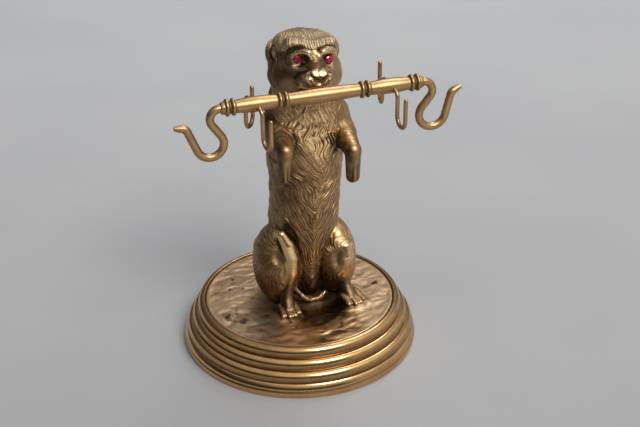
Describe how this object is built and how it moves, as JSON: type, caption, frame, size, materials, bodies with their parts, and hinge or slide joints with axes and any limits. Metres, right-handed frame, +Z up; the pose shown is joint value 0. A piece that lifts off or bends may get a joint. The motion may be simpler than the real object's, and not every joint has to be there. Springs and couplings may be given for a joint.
{
  "type": "watch stand figure",
  "caption": "Gilt animal sitting up on a round stepped foot, holding a turned bar in its mouth with S-shaped arms and wire hooks for pocket watches.",
  "frame": {"origin": "middle of the whole outline seen from above, on the plane that the foot stands on; it lies under the middle of the bar, 3.7 mm to the side of the foot's axis", "axes": "+Z up along the foot's axis, +X along the bar towards the animal's left-hand arm (image right), -Y the way the animal faces"},
  "size_m": [0.0944, 0.082, 0.1125],
  "materials": {
    "polished_gilt": "polished gilt brass with soft turning lines",
    "patinated_gilt": "gilt bronze casting with brown patina in the recesses",
    "satin_brass": "satin brass, rubbed bright on the high parts",
    "red_paste": "faceted deep red paste stone"
  },
  "bodies": {
    "root": {"base": "polished_gilt", "figure": "patinated_gilt", "eye_left": "red_paste", "eye_right": "red_paste", "crossbar": "satin_brass", "arm_left": "satin_brass", "arm_right": "satin_brass", "hook_left": "satin_brass", "hook_right": "satin_brass"}
  },
  "joints": []
}
